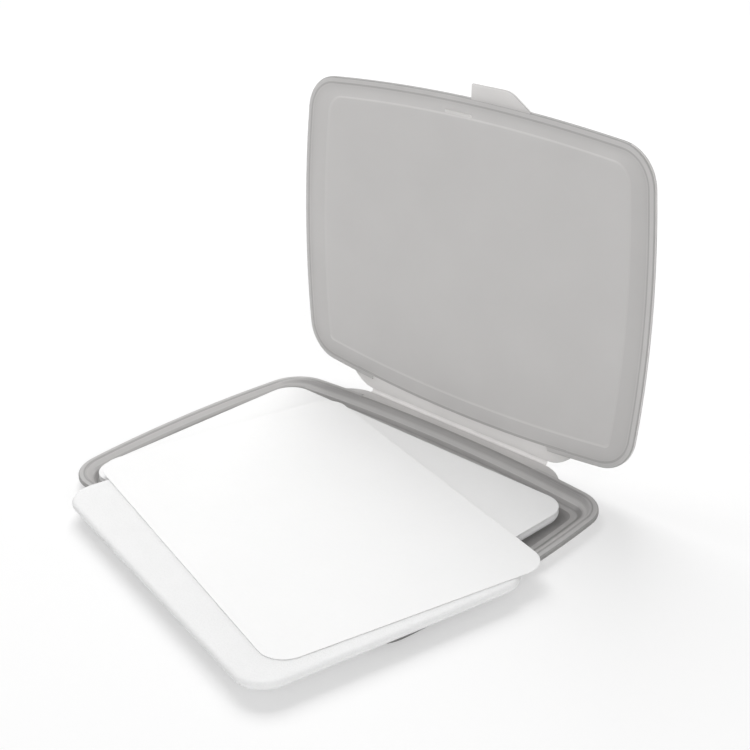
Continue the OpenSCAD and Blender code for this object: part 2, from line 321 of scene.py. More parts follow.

# %% [markdown]
# The pads are a fine white foam, cut from a sheet. Close up it is full of small open cells, so the
# bump is a cell pattern with finer noise in it, and the bottoms of the cells get a little painted shade.
# Light goes a few millimetres into foam and comes out again, which softens its edges, so the shader has
# some subsurface scattering.
# The palette paper is smooth and matte, a touch whiter than the foam. It has faint fibres, which are
# noise stretched along the sheet.

# %% Foam and paper
FOAM_PALE, FOAM_PIT_SHADE = (0.9, 0.9, 0.9, 1), (0.76, 0.76, 0.755, 1)
FOAM_CELLS, FOAM_PIT_SHADE_REACH, FOAM_PIT_SHADE_SHARE = 1500.0, 0.55, 0.3
FOAM_FINE, FOAM_FINE_DETAIL, FOAM_FINE_SHARE = 3800.0, 3.0, 0.5
FOAM_CLOUD, FOAM_CLOUD_RANGE = 60.0, (0.98, 1.02)
FOAM_BUMP, FOAM_BUMP_HEIGHT = 0.3, 0.2 * MM
FOAM_ROUGH, FOAM_SHINE = (0.85, 1.0), 0.2
FOAM_GLOW, FOAM_GLOW_REACH = 0.6, 3.0 * MM
PAPER_WHITE, PAPER_FIBRE = (0.965, 0.965, 0.965, 1), (0.935, 0.935, 0.93, 1)
FIBRE_STRETCH, FIBRE_SCALE, FIBRE_DETAIL = (0.25, 1.0, 1.0), 1900.0, 4.0
PAPER_CLOUD, PAPER_CLOUD_RANGE = 45.0, (0.985, 1.015)
PAPER_BUMP, PAPER_BUMP_HEIGHT = 0.15, 0.05 * MM
PAPER_ROUGH, PAPER_SHINE = (0.62, 0.78), 0.3


def mix_colour(tree, factor, first, second):
    return add(
        tree, "ShaderNodeMix", {"data_type": "RGBA"}, Factor=factor, i6=first, i7=second
    ).outputs[2]


def make_foam():
    foam = bpy.data.materials.new("fine_foam")
    tree = nodes_of(foam)
    place = add(tree, "ShaderNodeTexCoord").outputs["Object"]
    cells = add(tree, "ShaderNodeTexVoronoi", Vector=place, Scale=FOAM_CELLS).outputs["Distance"]
    fine = noise(tree, FOAM_FINE, FOAM_FINE_DETAIL)
    cloud = between(tree, noise(tree, FOAM_CLOUD), *FOAM_CLOUD_RANGE)
    # Painted shade in the bottoms of the foam's cells.
    pit_shade = add(tree, "ShaderNodeMapRange", i0=cells, i1=0.0, i2=FOAM_PIT_SHADE_REACH, i3=1.0, i4=0.0).outputs[0]
    share = calc(tree, "MULTIPLY", pit_shade, FOAM_PIT_SHADE_SHARE)
    height = calc(tree, "ADD", cells, between(tree, fine, 0.0, FOAM_FINE_SHARE))
    bump = add(tree, "ShaderNodeBump", Strength=FOAM_BUMP, Distance=FOAM_BUMP_HEIGHT, Height=height)
    matte = add(tree, "ShaderNodeBsdfPrincipled", **{
        "Base Color": scale3(tree, mix_colour(tree, share, FOAM_PALE, FOAM_PIT_SHADE), cloud),
        "Roughness": between(tree, fine, *FOAM_ROUGH),
        "Normal": bump.outputs[0],
        "Specular IOR Level": FOAM_SHINE,
        "Subsurface Weight": FOAM_GLOW,
        "Subsurface Radius": (1.0, 1.0, 1.0),
        "Subsurface Scale": FOAM_GLOW_REACH,
    })
    add(tree, "ShaderNodeOutputMaterial", Surface=matte.outputs[0])
    return foam


def make_paper():
    paper = bpy.data.materials.new("palette_sheet")
    tree = nodes_of(paper)
    place = add(tree, "ShaderNodeTexCoord").outputs["Object"]
    stretch = add(tree, "ShaderNodeMapping", Vector=place, Scale=FIBRE_STRETCH).outputs[0]
    fibres = add(
        tree, "ShaderNodeTexNoise", Vector=stretch, Scale=FIBRE_SCALE, Detail=FIBRE_DETAIL
    ).outputs["Fac"]
    cloud = between(tree, noise(tree, PAPER_CLOUD), *PAPER_CLOUD_RANGE)
    bump = add(tree, "ShaderNodeBump", Strength=PAPER_BUMP, Distance=PAPER_BUMP_HEIGHT, Height=fibres)
    matte = add(tree, "ShaderNodeBsdfPrincipled", **{
        "Base Color": scale3(tree, mix_colour(tree, fibres, PAPER_WHITE, PAPER_FIBRE), cloud),
        "Roughness": between(tree, fibres, *PAPER_ROUGH),
        "Normal": bump.outputs[0],
        "Specular IOR Level": PAPER_SHINE,
    })
    add(tree, "ShaderNodeOutputMaterial", Surface=matte.outputs[0])
    return paper


fine_foam = make_foam()
palette_sheet = make_paper()
print("made", fine_foam.name, "and", palette_sheet.name)

# %% [markdown]
# The outline of the case is four shallow arcs joined by round corners. A drawing could trace it, but
# the rule is simpler: each side is part of a large circle, and a corner circle touches its two
# neighbours from inside, so its centre is where the two shrunken circles cross.
# The same rule with smaller circles gives every line further in, which is how a moulded dish is drawn.
# All sizes are in millimetres until a mesh is made.

# %% Outline of the case
CASE_W, CASE_D = 200.0, 144.5
SIDE_BOW, FRONT_BOW, REAR_BOW = 5.6, 5.6, 6.5
CORNER_R = 18.0
LEAST_R = CORNER_R / 3
SIDE_STEPS, END_STEPS, CORNER_STEPS = 24, 28, 14


def bow_radius(half, bow):
    return (half * half + bow * bow) / (2 * bow)


SIDE_R = bow_radius(CASE_D / 2, SIDE_BOW)
FRONT_R = bow_radius(CASE_W / 2, FRONT_BOW)
REAR_R = bow_radius(CASE_W / 2, REAR_BOW)
SIDE_C = np.array((CASE_W / 2 - SIDE_R, 0.0))
FRONT_C = np.array((0.0, FRONT_R - CASE_D / 2))
REAR_C = np.array((0.0, CASE_D / 2 - REAR_R))


def circle_hit(c1, r1, c2, r2, side):
    """Where two circles cross, to the left (1) or the right (-1) of the line between their centres."""
    gap = np.linalg.norm(c2 - c1)
    u = (c2 - c1) / gap
    along = (r1 * r1 - r2 * r2 + gap * gap) / (2 * gap)
    across = math.sqrt(r1 * r1 - along * along)
    return c1 + along * u + side * across * np.array((-u[1], u[0]))


def arc(centre, radius, start, stop, steps):
    """Points along an arc, without its last one. The angles are in radians."""
    a = start + (stop - start) * np.arange(steps) / steps
    return np.asarray(centre) + radius * np.column_stack((np.cos(a), np.sin(a)))


def heading(v):
    return math.atan2(v[1], v[0])


def outline(in_side, in_front, in_rear, r, rear_r):
    """The case's edge, drawn in from the sides, the front and the rear, with its corner radii."""
    rs, rf, rr = SIDE_R - in_side, FRONT_R - in_front, REAR_R - in_rear
    cf = circle_hit(SIDE_C, rs - r, FRONT_C, rf - r, -1)
    cr = circle_hit(SIDE_C, rs - rear_r, REAR_C, rr - rear_r, 1)
    turns = [heading(cf - FRONT_C), heading(cf - SIDE_C), heading(cr - SIDE_C), heading(cr - REAR_C)]
    half = np.vstack((
        arc(FRONT_C, rf, -math.pi / 2, turns[0], END_STEPS),
        arc(cf, r, turns[0], turns[1], CORNER_STEPS),
        arc(SIDE_C, rs, turns[1], turns[2], SIDE_STEPS),
        arc(cr, rear_r, turns[2], turns[3], CORNER_STEPS),
        arc(REAR_C, rr, turns[3], math.pi / 2, END_STEPS),
        [REAR_C + (0, rr)],
    ))
    return np.vstack((half, half[-2:0:-1] * (-1, 1)))


edge = outline(0, 0, 0, CORNER_R, CORNER_R)
print("outline of", len(edge), "points,", np.ptp(edge, axis=0).round(2), "mm")

# %% [markdown]
# Both halves of the case have the same section: up the outside of a thin wall, round a thick bead, over
# a flat rim, and down a sloped inside to the floor. The section is a stack of outlines, each drawn in by
# some amount at some height.
# A wall whose inside and outside are drawn by the same rule comes out uneven, so each half says how much
# fuller its outside is, outwards and downwards. The tray's wall also gets thicker at its root under the
# hinge flange and towards its foot, so that the plastic's colour, which follows the wall, paints shade
# under the flange and next to the pad, so its slope has two more bends.
# Where three numbers stand together they are for the sides, the front and the rear.

# %% Section of one half
WALL = 1.2
RIM_W, BEAD_H, RIM_ROUND, RIM_GAP = 3.0, 2.4, 0.5, 0.3
EASE_RUN, EASE_FALL = 0.08, 0.06
FLAT_EDGE = 2.0
TRAY_HALF = {
    "depth": 4.0, "runs": np.array((6.2, 4.0, 7.0)), "rear corner": LEAST_R,
    "fuller": (0.35, 0.12), "root": np.array((0.0, 0.0, 0.6)), "foot": 1.1,
    "bends": ((0.36, 0.0), (0.62, np.array((0.55, 0.0, 0.0)))),
}
LID_HALF = {
    "depth": 1.7, "runs": np.array((10.0, 6.4, 6.4)), "rear corner": 2.5,
    "fuller": (0.0, 0.23), "root": 0.0, "foot": 0.0, "bends": (),
}


def at_height(points, z):
    return np.column_stack((points, np.full(len(points), z)))


def drawn_r(inset):
    return max(CORNER_R - inset, LEAST_R)


def wall_ring(share, half, extra, z):
    """A ring on the slope, at a share of its run inwards from the rim."""
    inset = RIM_W + extra + half["runs"] * share
    r = drawn_r(inset[1])
    rear_r = r + (min(r, half["rear corner"]) - r) * share
    return at_height(outline(*inset, r, rear_r), z)


def rim_ring(inset, z):
    r = drawn_r(inset)
    return at_height(outline(inset, inset, inset, r, r), z)


def slope_bends(half, extra, top, low, fuller):
    """The rings where a slope between two heights bends, from the top down."""
    made = []
    for share, swell in half["bends"]:
        z = top + (low - top) * (share - EASE_RUN) / (1 - 2 * EASE_RUN)
        made.append(wall_ring(share, half, extra - swell * fuller, z))
    return made


def half_rings(half, under):
    """The whole section: what lies under it, the outside upwards, the bead and rim, the inside downwards."""
    depth, foot = half["depth"], half["foot"]
    out, down = half["fuller"]
    deep, lip = -depth - WALL, -RIM_ROUND / 4
    outside = WALL / 4 - out
    outer = (max(-BEAD_H, -WALL) - WALL / 8 - EASE_FALL * depth - down, deep + WALL / 4 - down)
    inner = (lip - EASE_FALL * depth, (EASE_FALL - 1) * depth)
    return [
        *under,
        wall_ring(1, half, WALL / 2 - foot / 2, deep),
        wall_ring(1 - EASE_RUN, half, outside - foot, outer[1]),
        *reversed(slope_bends(half, outside, *outer, 1)),
        wall_ring(EASE_RUN, half, outside - half["root"], outer[0]),
        rim_ring(RIM_W - RIM_ROUND / 2, WALL - BEAD_H),
        rim_ring(RIM_W - RIM_ROUND, RIM_ROUND / 2 - BEAD_H),
        rim_ring(RIM_W - 2 * RIM_ROUND, -BEAD_H),
        rim_ring(RIM_ROUND, -BEAD_H),
        rim_ring(0, RIM_ROUND - BEAD_H),
        rim_ring(0, -RIM_ROUND),
        rim_ring(RIM_ROUND, 0),
        rim_ring(RIM_W - RIM_ROUND, 0),
        wall_ring(0, half, 0, lip),
        wall_ring(EASE_RUN, half, 0, inner[0]),
        *slope_bends(half, 0, *inner, 0),
        wall_ring(1 - EASE_RUN, half, 0, inner[1]),
        wall_ring(1, half, 0, -depth),
        wall_ring(1, half, FLAT_EDGE, -depth),
    ]


FOOT_H, FOOT_STEP = 0.3, 2.5
RIM_Z = FOOT_H + WALL + TRAY_HALF["depth"]
foot_rings = [
    wall_ring(1, TRAY_HALF, WALL / 2 + FOOT_STEP + FLAT_EDGE, -RIM_Z),
    wall_ring(1, TRAY_HALF, WALL / 2 + FOOT_STEP, -RIM_Z),
    wall_ring(1, TRAY_HALF, WALL / 2 + FOOT_STEP, FOOT_H - RIM_Z),
]
panel_rings = [wall_ring(1, LID_HALF, WALL / 2 + FLAT_EDGE, -LID_HALF["depth"] - WALL)]
tray_rings = half_rings(TRAY_HALF, foot_rings)
lid_rings = half_rings(LID_HALF, panel_rings)
print("tray of", len(tray_rings), "rings and lid of", len(lid_rings), "rings")

# %% [markdown]
# Now a mesh is skinned over each stack. Moulded plastic has no sharp edges, so before that each bend in
# the section is turned into a short curve of rings. A Bevel modifier could do it too, but it makes
# uneven strips where the walls change slope.

# %% Skin the two shells
SOFT_EDGE, SOFT_STEPS, SOFT_REACH = 0.35, 4, 0.45


def soften(rings):
    """Turns each bend in a stack of rings into a short curve of several rings."""
    made = [rings[0]]
    for before, here, after in zip(rings, rings[1:], rings[2:]):
        ways = []
        for other in (before, after):
            step = other - here
            length = np.linalg.norm(step, axis=1, keepdims=True)
            ways.append(step / length * np.minimum(SOFT_EDGE, SOFT_REACH * length))
        for t in np.linspace(0, 1, SOFT_STEPS):
            made.append(here + ways[0] * (1 - t) ** 2 + ways[1] * t ** 2)
    return made + [rings[-1]]


def skin(name, rings):
    """A closed mesh over a stack of rings, in metres."""
    rings = np.array(rings) * MM
    count, n = rings.shape[:2]
    faces = [
        (k * n + i, k * n + (i + 1) % n, (k + 1) * n + (i + 1) % n, (k + 1) * n + i)
        for k in range(count - 1)
        for i in range(n)
    ]
    faces.append(tuple(reversed(range(n))))
    faces.append(tuple((count - 1) * n + i for i in range(n)))
    mesh = bpy.data.meshes.new(name)
    mesh.from_pydata(rings.reshape(-1, 3).tolist(), [], faces)
    made = bpy.data.objects.new(name, mesh)
    bpy.context.scene.collection.objects.link(made)
    return made


def tidy(piece):
    """Makes every face of a closed piece point outwards."""
    work = bmesh.new()
    work.from_mesh(piece.data)
    bmesh.ops.recalc_face_normals(work, faces=work.faces)
    work.to_mesh(piece.data)
    work.free()


tray_shell = skin("tray_shell", soften(tray_rings))
lid_shell = skin("lid_shell", soften(lid_rings))
for shell in (tray_shell, lid_shell):
    tidy(shell)
    print(shell.name, "has", len(shell.data.polygons), "faces")

# %% [markdown]
# Along the fold the thick bead stops, with rounded ends, and a thin flange runs out to the hinge film
# in its place. The rim is cut away above and below, and the flange is added as a flat plate.
# Plates on a finished shell are easiest as simple closed solids with eased edges, which Boolean
# modifiers join to the shell or cut from it. The cuts go a hair into the plate, because faces that lie
# exactly in one plane can leave holes.

# %% Hinge flanges
HINGE_REACH, FOLD_HALF, FLANGE_HALF, FLANGE_T = 3.5, 53.5, 67.0, 1.0
HINGE_DROP, LIP_W, RIM_END_R = 0.6, 0.9, 1.4
FILM_HALF = 0.6
BITE, OVERLAP = 1.0, 0.02
PLATE_EDGE, PLATE_STEPS, PLATE_ANGLE = 0.25, 3, math.radians(50)
SWEEP_STEPS, FOLD_STEPS, RIM_END_STEPS = 16, 40, 10
FOLD_Y = CASE_D / 2 + HINGE_REACH


def rear_y(inset, x):
    return REAR_C[1] + np.sqrt((REAR_R - inset) ** 2 - np.square(x))


def curve3(start, bend, stop, steps):
    """Points on a quadratic curve."""
    t = np.linspace(0, 1, steps)[:, None]
    return np.asarray(start) * (1 - t) ** 2 + 2 * np.asarray(bend) * t * (1 - t) + np.asarray(stop) * t ** 2


def flange_outline():
    end = FOLD_Y - FILM_HALF
    bend = ((FOLD_HALF + FLANGE_HALF) / 2, end)
    sweep = curve3((FLANGE_HALF, rear_y(BITE, FLANGE_HALF)), bend, (FOLD_HALF, end), SWEEP_STEPS)
    root_x = np.linspace(-FLANGE_HALF, FLANGE_HALF, FOLD_STEPS)[1:-1]
    return np.vstack((sweep, sweep[::-1] * (-1, 1), np.column_stack((root_x, rear_y(RIM_W, root_x)))))


def fold_outline(inset):
    """The space along the fold where the rim is cut away."""
    end_x = FOLD_HALF - RIM_END_R
    end_y = rear_y(inset, end_x) + RIM_END_R
    edge_x = np.linspace(-end_x, end_x, FOLD_STEPS)
    past = FOLD_Y + BITE
    return np.vstack((
        np.column_stack((edge_x, rear_y(inset, edge_x))),
        arc((end_x, end_y), RIM_END_R, -math.pi / 2, 0, RIM_END_STEPS),
        [(FOLD_HALF, end_y), (FOLD_HALF, past), (-FOLD_HALF, past)],
        arc((-end_x, end_y), RIM_END_R, math.pi, 1.5 * math.pi, RIM_END_STEPS),
    ))


def settle(piece):
    """Turns what the modifiers show into the piece's own mesh, and removes them."""
    shown = piece.evaluated_get(bpy.context.evaluated_depsgraph_get())
    mesh = bpy.data.meshes.new_from_object(shown)
    old = piece.data
    piece.modifiers.clear()
    piece.data = mesh
    mesh.name = piece.name
    bpy.data.meshes.remove(old)


def plate(name, points, low, high, eased=PLATE_EDGE):
    """A flat plate between two heights, with its edges eased."""
    made = skin(name, [at_height(points, low), at_height(points, high)])
    tidy(made)
    if eased:
        bevel = made.modifiers.new("eased edge", "BEVEL")
        bevel.width = eased * MM
        bevel.segments = PLATE_STEPS
        bevel.limit_method = "ANGLE"
        bevel.angle_limit = PLATE_ANGLE
        settle(made)
    return made


def carve(piece, tool, how):
    """Joins a tool to a piece, or cuts it away, and removes the tool."""
    cut = piece.modifiers.new(how.lower(), "BOOLEAN")
    cut.operation = how
    cut.object = tool
    cut.solver = "EXACT"
    settle(piece)
    old = tool.data
    bpy.data.objects.remove(tool)
    bpy.data.meshes.remove(old)


def add_hinge_side(shell):
    under = HINGE_DROP + FLANGE_T
    top_cut = plate("top_cut", fold_outline(RIM_W - LIP_W), -HINGE_DROP - OVERLAP, BITE, 0)
    low_cut = plate("low_cut", fold_outline(RIM_W - RIM_ROUND / 2), -BEAD_H - BITE, OVERLAP - under, 0)
    carve(shell, top_cut, "DIFFERENCE")
    carve(shell, low_cut, "DIFFERENCE")
    carve(shell, plate("flange", flange_outline(), -under, -HINGE_DROP), "UNION")


for shell in (tray_shell, lid_shell):
    add_hinge_side(shell)
    print(shell.name, "with its flange has", len(shell.data.polygons), "faces")

# %% [markdown]
# On the front edge each half has a flat thumb tab, square at one end and slanted at the other. The two
# lie side by side when the case is shut, so that a thumb can press them apart. Each is one more plate,
# set a little below the rim's face so that the joint stays clean.

# %% Thumb tabs
TAB_GAP, TAB_ROOT, TAB_TOP, TAB_REACH, TAB_T = 3.2, 32.0, 21.0, 6.2, 1.1
TAB_ROUNDS, ROUND_STEPS = (0, 0.8, 3.0, 0, 0), 7
FACE_STEP = 0.15


def round_corners(points, radii):
    """A polygon with each corner turned into a curve that starts and ends a radius away from it."""
    points = np.asarray(points, float)
    made = []
    for i, reach in enumerate(radii):
        here, before, after = points[i], points[i - 1], points[(i + 1) % len(points)]
        start = here + (before - here) / np.linalg.norm(before - here) * reach
        stop = here + (after - here) / np.linalg.norm(after - here) * reach
        made.extend(curve3(start, here, stop, ROUND_STEPS) if reach else [here])
    return np.array(made)


def tab_outline(hand):
    root = FRONT_C[1] - math.sqrt((FRONT_R - BITE) ** 2 - (TAB_GAP + TAB_ROOT) ** 2)
    top = -CASE_D / 2 - TAB_REACH
    points = [
        (TAB_GAP, root), (TAB_GAP, top), (TAB_GAP + TAB_TOP, top),
        (TAB_GAP + TAB_ROOT, root - BITE), (TAB_GAP + TAB_ROOT, root),
    ]
    return round_corners(points, TAB_ROUNDS) * (hand, 1)


for shell, hand in ((tray_shell, -1), (lid_shell, 1)):
    carve(shell, plate("tab", tab_outline(hand), -TAB_T - FACE_STEP, -FACE_STEP), "UNION")
    print(shell.name, "with its tab has", len(shell.data.polygons), "faces")

# %% [markdown]
# Each half can now measure its own wall: a ray from every face goes straight in through the plastic and
# says how far away the other side is. That is the attribute that the plastic's colour reads. The ray
# starts at the face's centre, or, on a face with many corners whose centre may lie outside it, at the
# centre of its largest triangle. A face that is seen end on, where the ray runs far along the plastic,
# counts as thin, so that the plastic's colour paints a highlight on it, as on the ends of the bead.

# %% Measure the walls
LONG_WAY, HIGHLIGHT_AS_THIN, JUST_INSIDE = 8.0, 0.8, 0.01


def set_walls(piece, walls):
    attribute = piece.data.attributes.new(WALL_ATTRIBUTE, "FLOAT", "FACE")
    attribute.data.foreach_set("value", walls)


def face_spots(mesh):
    """A point on each face: its centre, or that of its largest triangle where it has many corners."""
    spots = [p.center.copy() for p in mesh.polygons]
    largest = {}
    mesh.calc_loop_triangles()
    for part in mesh.loop_triangles:
        i = part.polygon_index
        if len(mesh.polygons[i].vertices) > 4 and part.area > largest.get(i, 0):
            largest[i] = part.area
            spots[i] = part.center.copy()
    return spots


def measure_walls(piece):
    """How thick the plastic is behind each face, in millimetres."""
    mesh = piece.data
    tree = BVHTree.FromPolygons([v.co for v in mesh.vertices], [list(p.vertices) for p in mesh.polygons])
    walls = []
    for p, spot in zip(mesh.polygons, face_spots(mesh)):
        start = spot - p.normal * (JUST_INSIDE * MM)
        distance = tree.ray_cast(start, -p.normal, LONG_WAY * MM)[3]
        # Faces seen end on count as thin, which paints a highlight on them.
        walls.append(distance / MM if distance else HIGHLIGHT_AS_THIN)
    set_walls(piece, walls)
    print(piece.name, "walls from", round(min(walls), 2), "to", round(max(walls), 2), "mm")


measure_walls(tray_shell)
measure_walls(lid_shell)

# %% [markdown]
# Inside the lid a short rib snaps behind the tray's rim and holds the case shut. It is a small bar that
# stands on the sloped band. It joins the lid after the walls are measured and counts as thin, which
# paints a highlight on it for the light that comes through its narrow top from all sides.

# %% Catch
CATCH_LEN, CATCH_W, CATCH_H, CATCH_INSET, CATCH_R = 14.8, 1.2, 0.8, 7.0, 0.5


def catch_bar():
    fall = LID_HALF["depth"] / LID_HALF["runs"][1]
    depth = [fall * (y - RIM_W) for y in (CATCH_INSET, CATCH_INSET + CATCH_W)]
    x0, y0 = TAB_GAP - CATCH_LEN, CATCH_INSET - CASE_D / 2
    corners = [(x0, y0), (x0 + CATCH_LEN, y0), (x0 + CATCH_LEN, y0 + CATCH_W), (x0, y0 + CATCH_W)]
    return plate("catch", round_corners(corners, (CATCH_R,) * 4), -depth[1] - WALL / 2, CATCH_H - depth[0])


catch = catch_bar()
# The catch's faces count as thin, which paints a highlight on it.
set_walls(catch, [HIGHLIGHT_AS_THIN] * len(catch.data.polygons))
carve(lid_shell, catch, "UNION")
print("lid with its catch has", len(lid_shell.data.polygons), "faces")

# %% [markdown]
# Both halves were made with their rims upwards at height 0. The tray only has to be lifted onto its
# foot. The lid is turned rim down over the tray and then swung open about the fold line, by the angle
# that it stands at. The turn is put into the mesh, so that the object itself stays at the origin.
# Before that, points that the cuts left almost on top of each other are welded together, so that no
# sliver of a face catches the light.

# %% Place the halves
LID_OPEN = math.radians(93.6)
SHARP_EDGE = math.radians(38)
WELD_GAP = 0.008
FOLD_Z = RIM_Z + RIM_GAP / 2


def weld(piece):
    """Merges points that lie closer than a Boolean cut can tell apart."""
    work = bmesh.new()
    work.from_mesh(piece.data)
    bmesh.ops.remove_doubles(work, verts=work.verts, dist=WELD_GAP * MM)
    work.to_mesh(piece.data)
    work.free()


def smooth(piece):
    piece.data.shade_smooth()
    piece.data.set_sharp_from_angle(angle=SHARP_EDGE)


lift = Matrix.Translation((0, 0, RIM_Z * MM))
over = Matrix.Translation((0, -FOLD_Y * MM, RIM_GAP / 2 * MM)) @ Matrix.Scale(-1, 4, (0, 0, 1))
swing = Matrix.Translation((0, FOLD_Y * MM, FOLD_Z * MM)) @ Matrix.Rotation(-LID_OPEN, 4, "X")
for piece, place, body, node in (
    (tray_shell, lift, "tray", "base_tray"),
    (lid_shell, swing @ over, "lid", "lid"),
):
    weld(piece)
    piece.data.transform(place)
    tidy(piece)
    smooth(piece)
    piece.data.materials.clear()
    piece.data.materials.append(frosted)
    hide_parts(node)
    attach(piece, body)
    print(piece.name, "rides on", body)

# %% [markdown]
# The hinge itself is a film of the same plastic, thin enough to bend a few thousand times. It follows a
# path, so Geometry Nodes make it: a short curve from the tray's flange to the lid's flange is swept
# along the fold, and the ribbon gets its thickness.

# %% Hinge film
FILM_T = 0.4
FILM_STEPS = 14
FILM_WELD = 0.01


def new_tree(name, inputs):
    """An empty geometry tree with named inputs, and the identifiers to set them by."""
    tree = bpy.data.node_groups.new(name, "GeometryNodeTree")
    found = {}
    for label, kind in inputs:
        found[label] = tree.interface.new_socket(label, in_out="INPUT", socket_type=kind).identifier
    tree.interface.new_socket("Geometry", in_out="OUTPUT", socket_type="NodeSocketGeometry")
    return tree, add(tree, "NodeGroupInput").outputs, found


def end_tree(tree, geometry, material):
    real = add(tree, "GeometryNodeRealizeInstances", Geometry=geometry)
    dressed = add(tree, "GeometryNodeSetMaterial", Geometry=real.outputs[0], Material=material)
    add(tree, "NodeGroupOutput", i0=dressed.outputs[0])


def thicken(tree, sheet, offset):
    """Closes a sheet of faces into a solid: the sheet turned over, and a copy of it pushed out."""
    pushed = add(tree, "GeometryNodeExtrudeMesh", Mesh=sheet, Individual=False, **{"Offset Scale": offset})
    turned = add(tree, "GeometryNodeFlipFaces", Mesh=sheet)
    both = add(tree, "GeometryNodeJoinGeometry")
    tree.links.new(pushed.outputs[0], both.inputs[0])
    tree.links.new(turned.outputs[0], both.inputs[0])
    closed = add(tree, "GeometryNodeMergeByDistance", Geometry=both.outputs[0], Distance=FILM_WELD * MM)
    return closed.outputs[0]


def film_tree():
    tree, given, found = new_tree("hinge film", (
        ("Start", "NodeSocketVector"), ("Bend", "NodeSocketVector"), ("Stop", "NodeSocketVector"),
        ("Half Length", "NodeSocketFloat"), ("Thickness", "NodeSocketFloat"),
        ("Material", "NodeSocketMaterial"),
    ))
    section = add(
        tree, "GeometryNodeCurveQuadraticBezier",
        Resolution=FILM_STEPS, Start=given["Start"], Middle=given["Bend"], End=given["Stop"],
    )
    left = add(tree, "ShaderNodeCombineXYZ", X=calc(tree, "MULTIPLY", given["Half Length"], -1.0))
    right = add(tree, "ShaderNodeCombineXYZ", X=given["Half Length"])
    path = add(tree, "GeometryNodeCurvePrimitiveLine", Start=left.outputs[0], End=right.outputs[0])
    fold = add(tree, "GeometryNodeResampleCurve", Curve=path.outputs[0], Count=FOLD_STEPS)
    ribbon = add(
        tree, "GeometryNodeCurveToMesh", Curve=fold.outputs[0], **{"Profile Curve": section.outputs[0]}
    )
    end_tree(tree, thicken(tree, ribbon.outputs[0], given["Thickness"]), given["Material"])
    return tree, found


def grow(name, tree, found, values):
    """Runs a geometry tree with the given inputs and keeps the plain mesh."""
    made = bpy.data.objects.new(name, bpy.data.meshes.new(name))
    bpy.context.scene.collection.objects.link(made)
    modifier = made.modifiers.new(tree.name, "NODES")
    modifier.node_group = tree
    for label, value in values.items():
        modifier[found[label]] = value
    settle(made)
    if made.data.materials[0] is None:
        made.data.materials.pop(index=0)
    return made


def film_points():
    """Start, bend and stop of the film's inner face, as distance behind the fold and height over it."""
    low = RIM_GAP / 2 + HINGE_DROP
    start = np.array((-FILM_HALF, -low))
    c, s = math.cos(LID_OPEN), math.sin(LID_OPEN)
    stop = np.array((-FILM_HALF * c + low * s, FILM_HALF * s + low * c))
    lean = np.array((c, -s))
    bend = stop - lean * (stop[1] - start[1]) / lean[1]
    return start, bend, stop


def extent(piece):
    """The lowest and highest corner of a piece, in millimetres."""
    co = np.array([v.co for v in piece.data.vertices]) / MM
    return co.min(0), co.max(0)


film_rules, film_inputs = film_tree()
start, bend, stop = ((y * MM, z * MM, 0) for y, z in film_points())
fold_film = grow("fold_film", film_rules, film_inputs, {
    "Start": start, "Bend": bend, "Stop": stop,
    "Half Length": FOLD_HALF * MM, "Thickness": FILM_T * MM, "Material": frosted,
})
half_turn = Matrix.Rotation(math.pi, 4, "X")
fold_film.data.transform(Matrix.Translation((0, FOLD_Y * MM, FOLD_Z * MM)) @ half_turn)
tidy(fold_film)
smooth(fold_film)
measure_walls(fold_film)
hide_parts("hinge_film")
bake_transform(fold_film)
print("film from", *(corner.round(2) for corner in extent(fold_film)), "mm")

# %% [markdown]
# The pads and the papers are all one idea: a flat sheet with round corners and a soft edge, thick for the
# foam and thin for the paper. So one geometry tree makes all four. It starts from a plain grid and moves
# its points by rule. First the rows crowd towards the edges, where the shape is. Then whatever lies
# beyond a corner's centre is drawn onto an arc about it. Last, the sheet is lifted into a top and a
# bottom that close up at the edge as half an ellipse does.
# A pad that is cut from foam sheet has no cover to swell, so there is nothing to simulate. It lies flat
# and is only a little uneven, from a slow noise.

# %% Rules for a soft sheet
GRID_X, GRID_Y = 97, 73
UNEVEN_SCALE, UNEVEN_DETAIL = 26.0, 1.0
SHEET_WELD = 0.002


def calc3(tree, how, first, second=(0, 0, 0)):
    """One step of reckoning with vectors."""
    return add(tree, "ShaderNodeVectorMath", {"operation": how}, i0=first, i1=second).outputs[0]


def parts_of(tree, vector):
    return add(tree, "ShaderNodeSeparateXYZ", Vector=vector).outputs


def joined(tree, x, y, z):
    return add(tree, "ShaderNodeCombineXYZ", X=x, Y=y, Z=z).outputs[0]


def flat_spot(tree, unit, half, corner):
    """Where a point of the unit grid goes on the sheet, and how far from the edge that is."""
    away = calc3(tree, "SUBTRACT", (1, 1, 0), calc3(tree, "ABSOLUTE", unit))
    from_edge = calc3(tree, "MULTIPLY", half, calc3(tree, "MULTIPLY", away, away))
    spread = calc3(tree, "SUBTRACT", half, from_edge)
    inner = calc3(tree, "SUBTRACT", half, joined(tree, corner, corner, 0.0))
    past = calc3(tree, "MAXIMUM", calc3(tree, "SUBTRACT", spread, inner))
    past_x, past_y, _ = parts_of(tree, past)
    on_arc = scale3(tree, calc3(tree, "NORMALIZE", past), calc(tree, "MAXIMUM", past_x, past_y))
    spot = calc3(tree, "ADD", calc3(tree, "MINIMUM", spread, inner), on_arc)
    edge_x, edge_y, _ = parts_of(tree, from_edge)
    return calc3(tree, "MULTIPLY", spot, calc3(tree, "SIGN", unit)), calc(tree, "MINIMUM", edge_x, edge_y)


def edge_curve(tree, distance, reach):
    """0 at the edge and 1 from a reach inwards, rising as an ellipse does."""
    share = calc(tree, "MINIMUM", calc(tree, "DIVIDE", distance, reach), 1.0)
    rest = calc(tree, "SUBTRACT", 1.0, share)
    return calc(tree, "SQRT", calc(tree, "SUBTRACT", 1.0, calc(tree, "MULTIPLY", rest, rest)))


